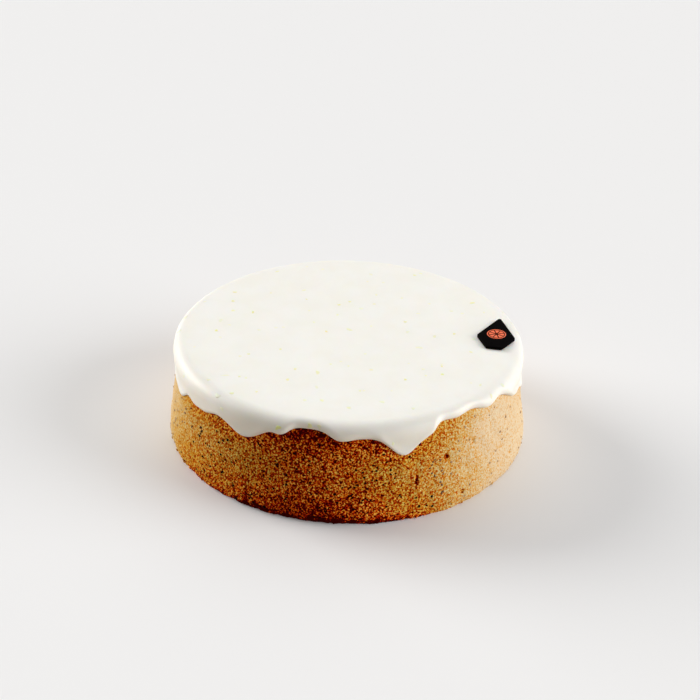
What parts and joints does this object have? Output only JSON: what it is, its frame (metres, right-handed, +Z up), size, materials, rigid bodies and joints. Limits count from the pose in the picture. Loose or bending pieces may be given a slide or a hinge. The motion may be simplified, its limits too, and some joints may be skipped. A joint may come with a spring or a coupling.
{
  "type": "lemon poppy seed cake",
  "caption": "Round poppy seed sponge cake under a smooth white icing that runs down the side in uneven drips, with a small plain dark plaque near the rim.",
  "frame": {"origin": "middle of the flat base, on the surface that the cake stands on", "axes": "+Z up through the middle of the cake; the pictured front looks along -Y, and the plaque lies at +X"},
  "size_m": [0.178, 0.1789, 0.0536],
  "materials": {
    "crumb": "porous golden sponge with dark poppy seeds",
    "glaze": "smooth set sugar icing with a soft gloss and fine yellow zest",
    "dark_chocolate": "near-black, satin"
  },
  "bodies": {
    "root": {"sponge": "crumb", "icing": "glaze", "plaque": "dark_chocolate"}
  },
  "joints": []
}
